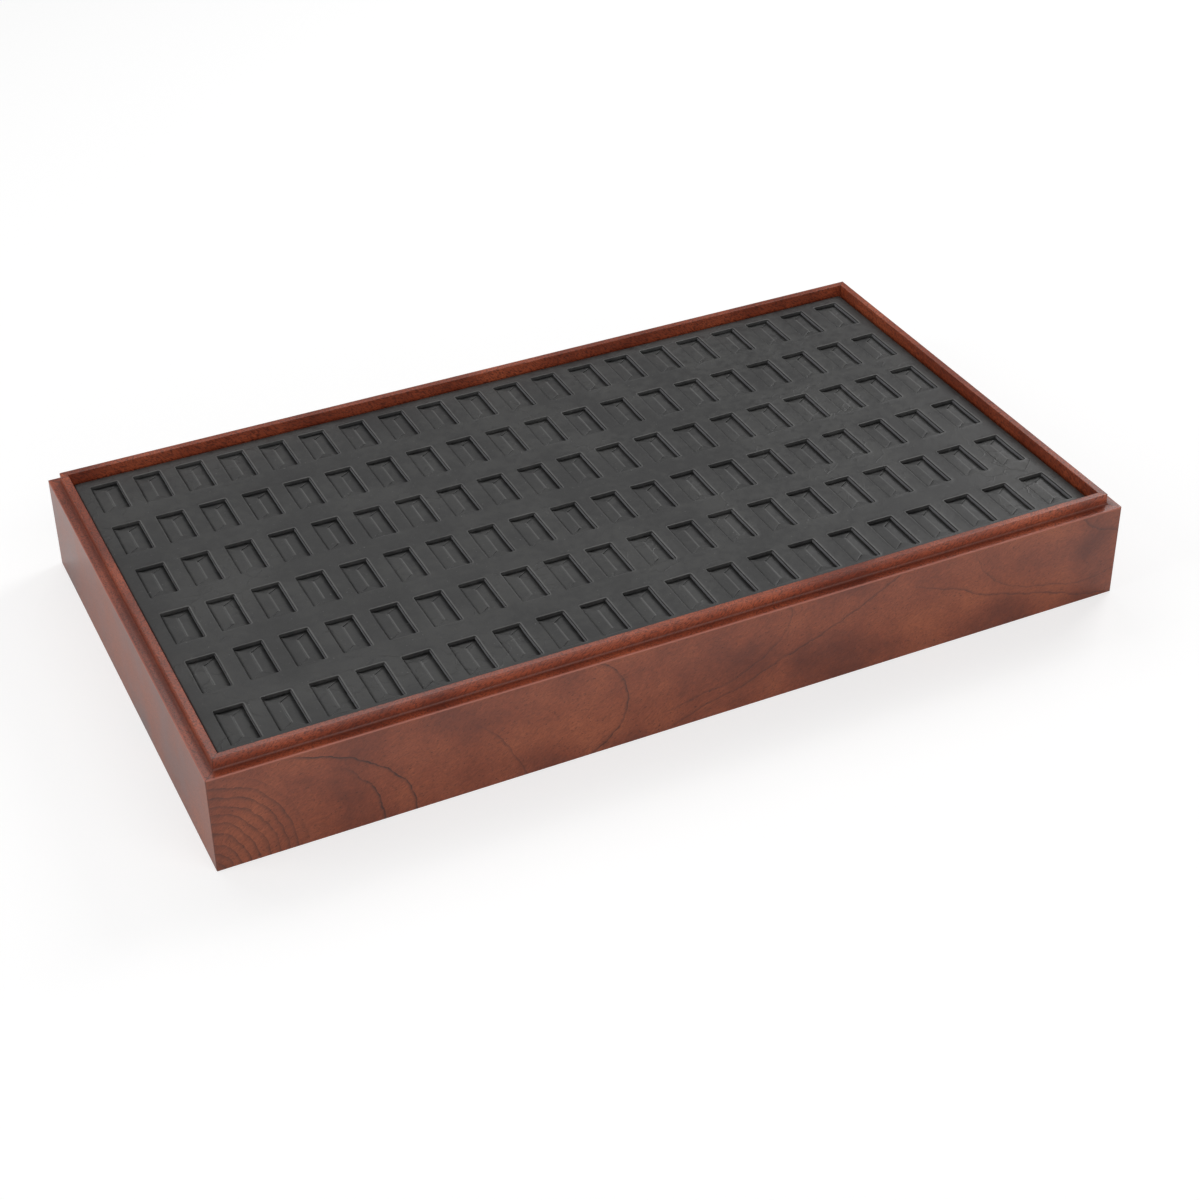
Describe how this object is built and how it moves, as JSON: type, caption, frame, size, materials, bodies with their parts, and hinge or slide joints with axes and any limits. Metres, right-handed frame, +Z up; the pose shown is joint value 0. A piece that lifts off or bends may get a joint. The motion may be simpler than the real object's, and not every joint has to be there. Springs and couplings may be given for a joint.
{
  "type": "ring display tray",
  "caption": "Stacking wooden display tray with a stepped rim and a lift-out padded insert that holds rings upright in rows of slots.",
  "frame": {"origin": "middle of the underside, on the surface that the tray stands on", "axes": "+X along the length to the right, +Y to the back, +Z up out of the tray"},
  "size_m": [0.375, 0.21, 0.0452],
  "materials": {
    "stained_wood": "satin",
    "spline_wood": "matte",
    "panel_plywood": "matte",
    "underside_felt": "matte",
    "batten_wood": "matte",
    "leatherette": "matte",
    "window_greyboard": "matte",
    "faced_foam": "matte",
    "backing_greyboard": "matte"
  },
  "bodies": {
    "tray": {"front_board": "stained_wood", "back_board": "stained_wood", "left_board": "stained_wood", "right_board": "stained_wood", "mitre_spline_front_left": "spline_wood", "mitre_spline_front_right": "spline_wood", "mitre_spline_back_left": "spline_wood", "mitre_spline_back_right": "spline_wood", "bottom_panel": "panel_plywood", "underside_felt": "underside_felt", "front_batten": "batten_wood", "back_batten": "batten_wood", "left_batten": "batten_wood", "right_batten": "batten_wood", "middle_batten": "batten_wood"},
    "insert": {"window_cover": "leatherette", "window_board": "window_greyboard", "ring_pad": "faced_foam", "insert_backing": "backing_greyboard"}
  },
  "joints": [
    {"name": "insert_lift", "type": "slide", "parent": "tray", "child": "insert", "axis": [0, 0, 1], "range_m": [0, 0.05]}
  ]
}
